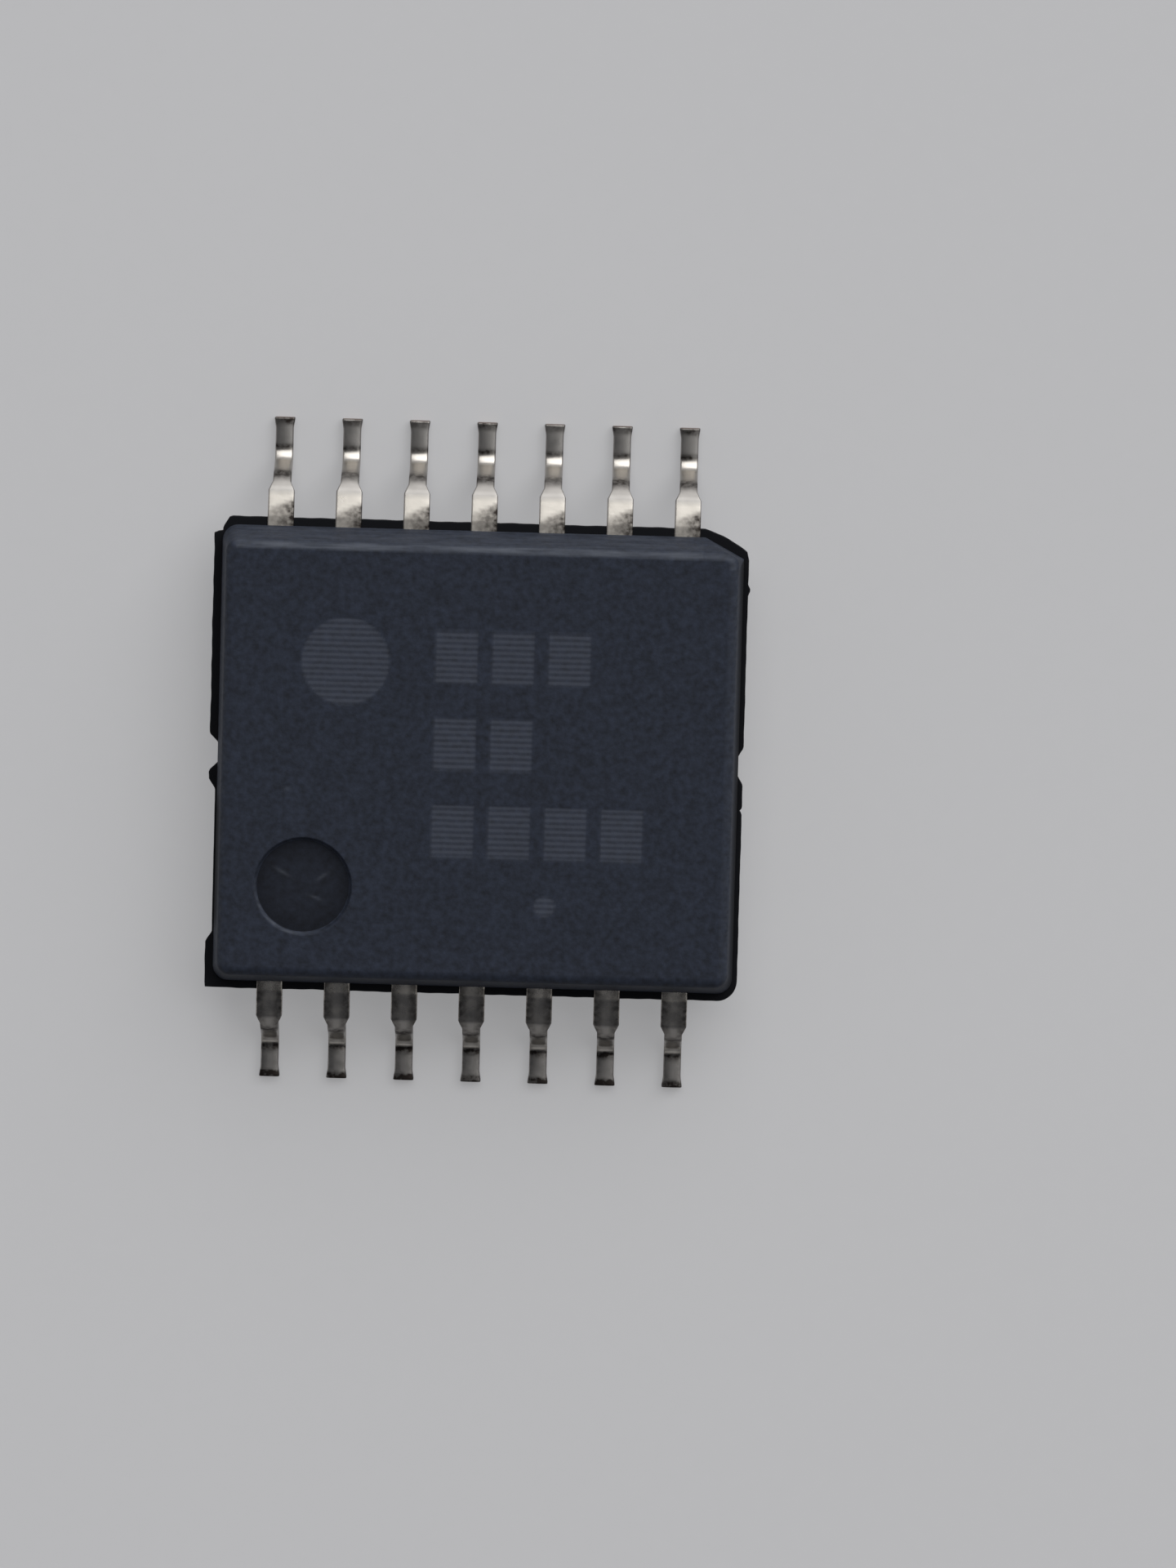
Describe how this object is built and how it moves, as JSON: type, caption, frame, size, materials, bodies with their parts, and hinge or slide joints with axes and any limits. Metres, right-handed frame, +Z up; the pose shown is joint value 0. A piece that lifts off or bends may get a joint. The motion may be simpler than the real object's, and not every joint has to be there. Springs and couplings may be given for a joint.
{
  "type": "small-outline chip",
  "caption": "Thin small-outline semiconductor chip: a drafted black epoxy moulding with two rows of gull-wing solder leads, and a die, die pad and bond wires sealed inside.",
  "frame": {"origin": "centre of the seating plane, under the solder feet and on both centre lines of the body", "axes": "+X along the lead rows from lead 1 to the other end of its row, +Y across the rows from lead 1's row, +Z up"},
  "size_m": [0.0052, 0.0064, 0.0011],
  "materials": {
    "moulding_epoxy": "matte",
    "tin_plated_copper": "satin",
    "frame_copper": "satin",
    "silver_adhesive": "matte",
    "silicon": "polished",
    "gold_wire": "polished"
  },
  "bodies": {
    "root": {"mould_body": "moulding_epoxy", "die_pad": "frame_copper", "die_attach": "silver_adhesive", "die": "silicon", "lead_01": "tin_plated_copper", "lead_02": "tin_plated_copper", "lead_03": "tin_plated_copper", "lead_04": "tin_plated_copper", "lead_05": "tin_plated_copper", "lead_06": "tin_plated_copper", "lead_07": "tin_plated_copper", "lead_08": "tin_plated_copper", "lead_09": "tin_plated_copper", "lead_10": "tin_plated_copper", "lead_11": "tin_plated_copper", "lead_12": "tin_plated_copper", "lead_13": "tin_plated_copper", "lead_14": "tin_plated_copper", "bond_wire_01": "gold_wire", "bond_wire_02": "gold_wire", "bond_wire_03": "gold_wire", "bond_wire_04": "gold_wire", "bond_wire_05": "gold_wire", "bond_wire_06": "gold_wire", "bond_wire_07": "gold_wire", "bond_wire_08": "gold_wire", "bond_wire_09": "gold_wire", "bond_wire_10": "gold_wire", "bond_wire_11": "gold_wire", "bond_wire_12": "gold_wire", "bond_wire_13": "gold_wire", "bond_wire_14": "gold_wire"}
  },
  "joints": []
}
